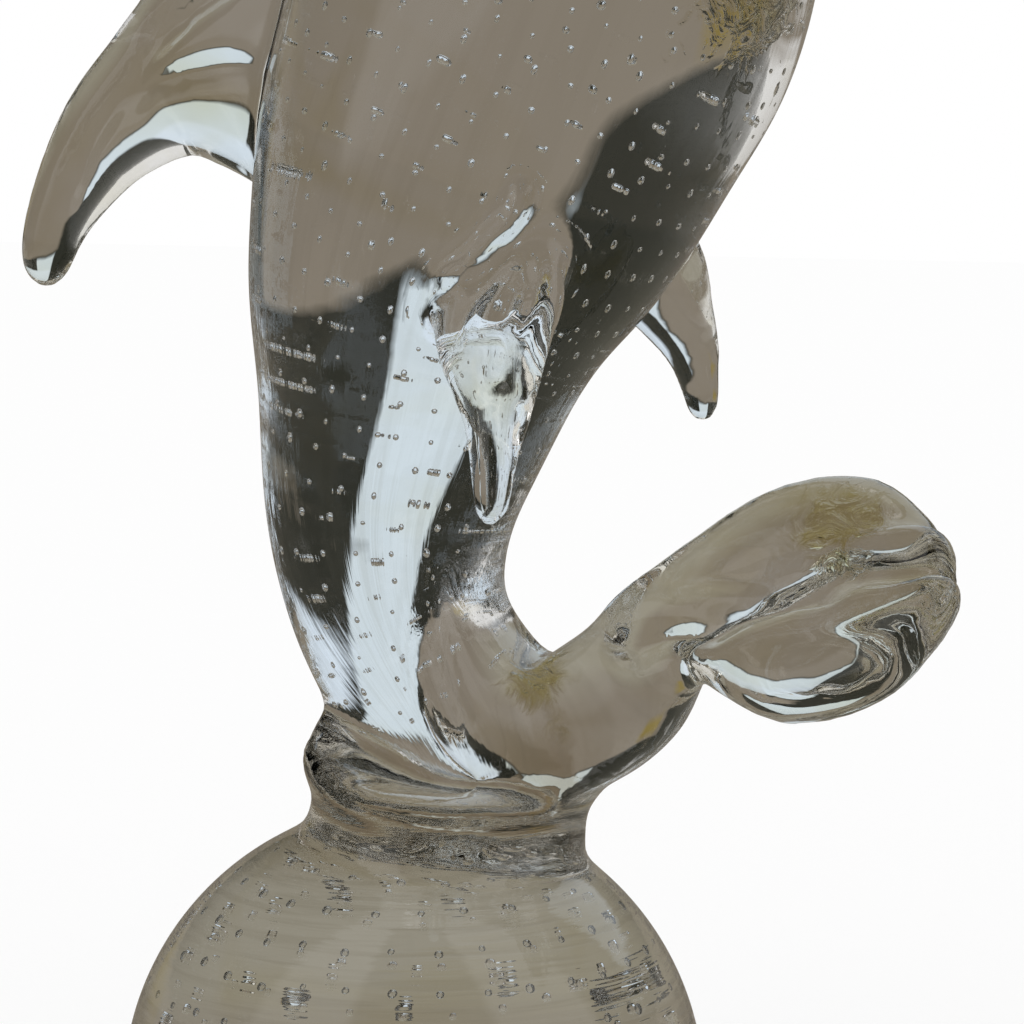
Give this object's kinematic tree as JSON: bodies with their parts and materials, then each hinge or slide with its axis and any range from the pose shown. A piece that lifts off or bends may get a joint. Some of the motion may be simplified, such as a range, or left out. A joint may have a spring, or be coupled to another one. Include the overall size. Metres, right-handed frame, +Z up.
{
  "type": "bubble glass dolphin figurine",
  "caption": "Clear bubble glass dolphin leaping straight up from a bubble glass ball, its heel held in a ragged glass collar.",
  "frame": {"origin": "centre of the flat foot under the glass ball", "axes": "+Z up, +X towards the dolphin's belly side and its raised tail, +Y to the dolphin's left"},
  "size_m": [0.1428, 0.0812, 0.2494],
  "materials": {
    "dolphin_glass": "clear, fire polished, with rows of small air bubbles",
    "base_glass": "clear with a faint smoke tint, swirled, with rows of small air bubbles"
  },
  "bodies": {
    "root": {"dolphin": "dolphin_glass", "ball_base": "base_glass"}
  },
  "joints": []
}
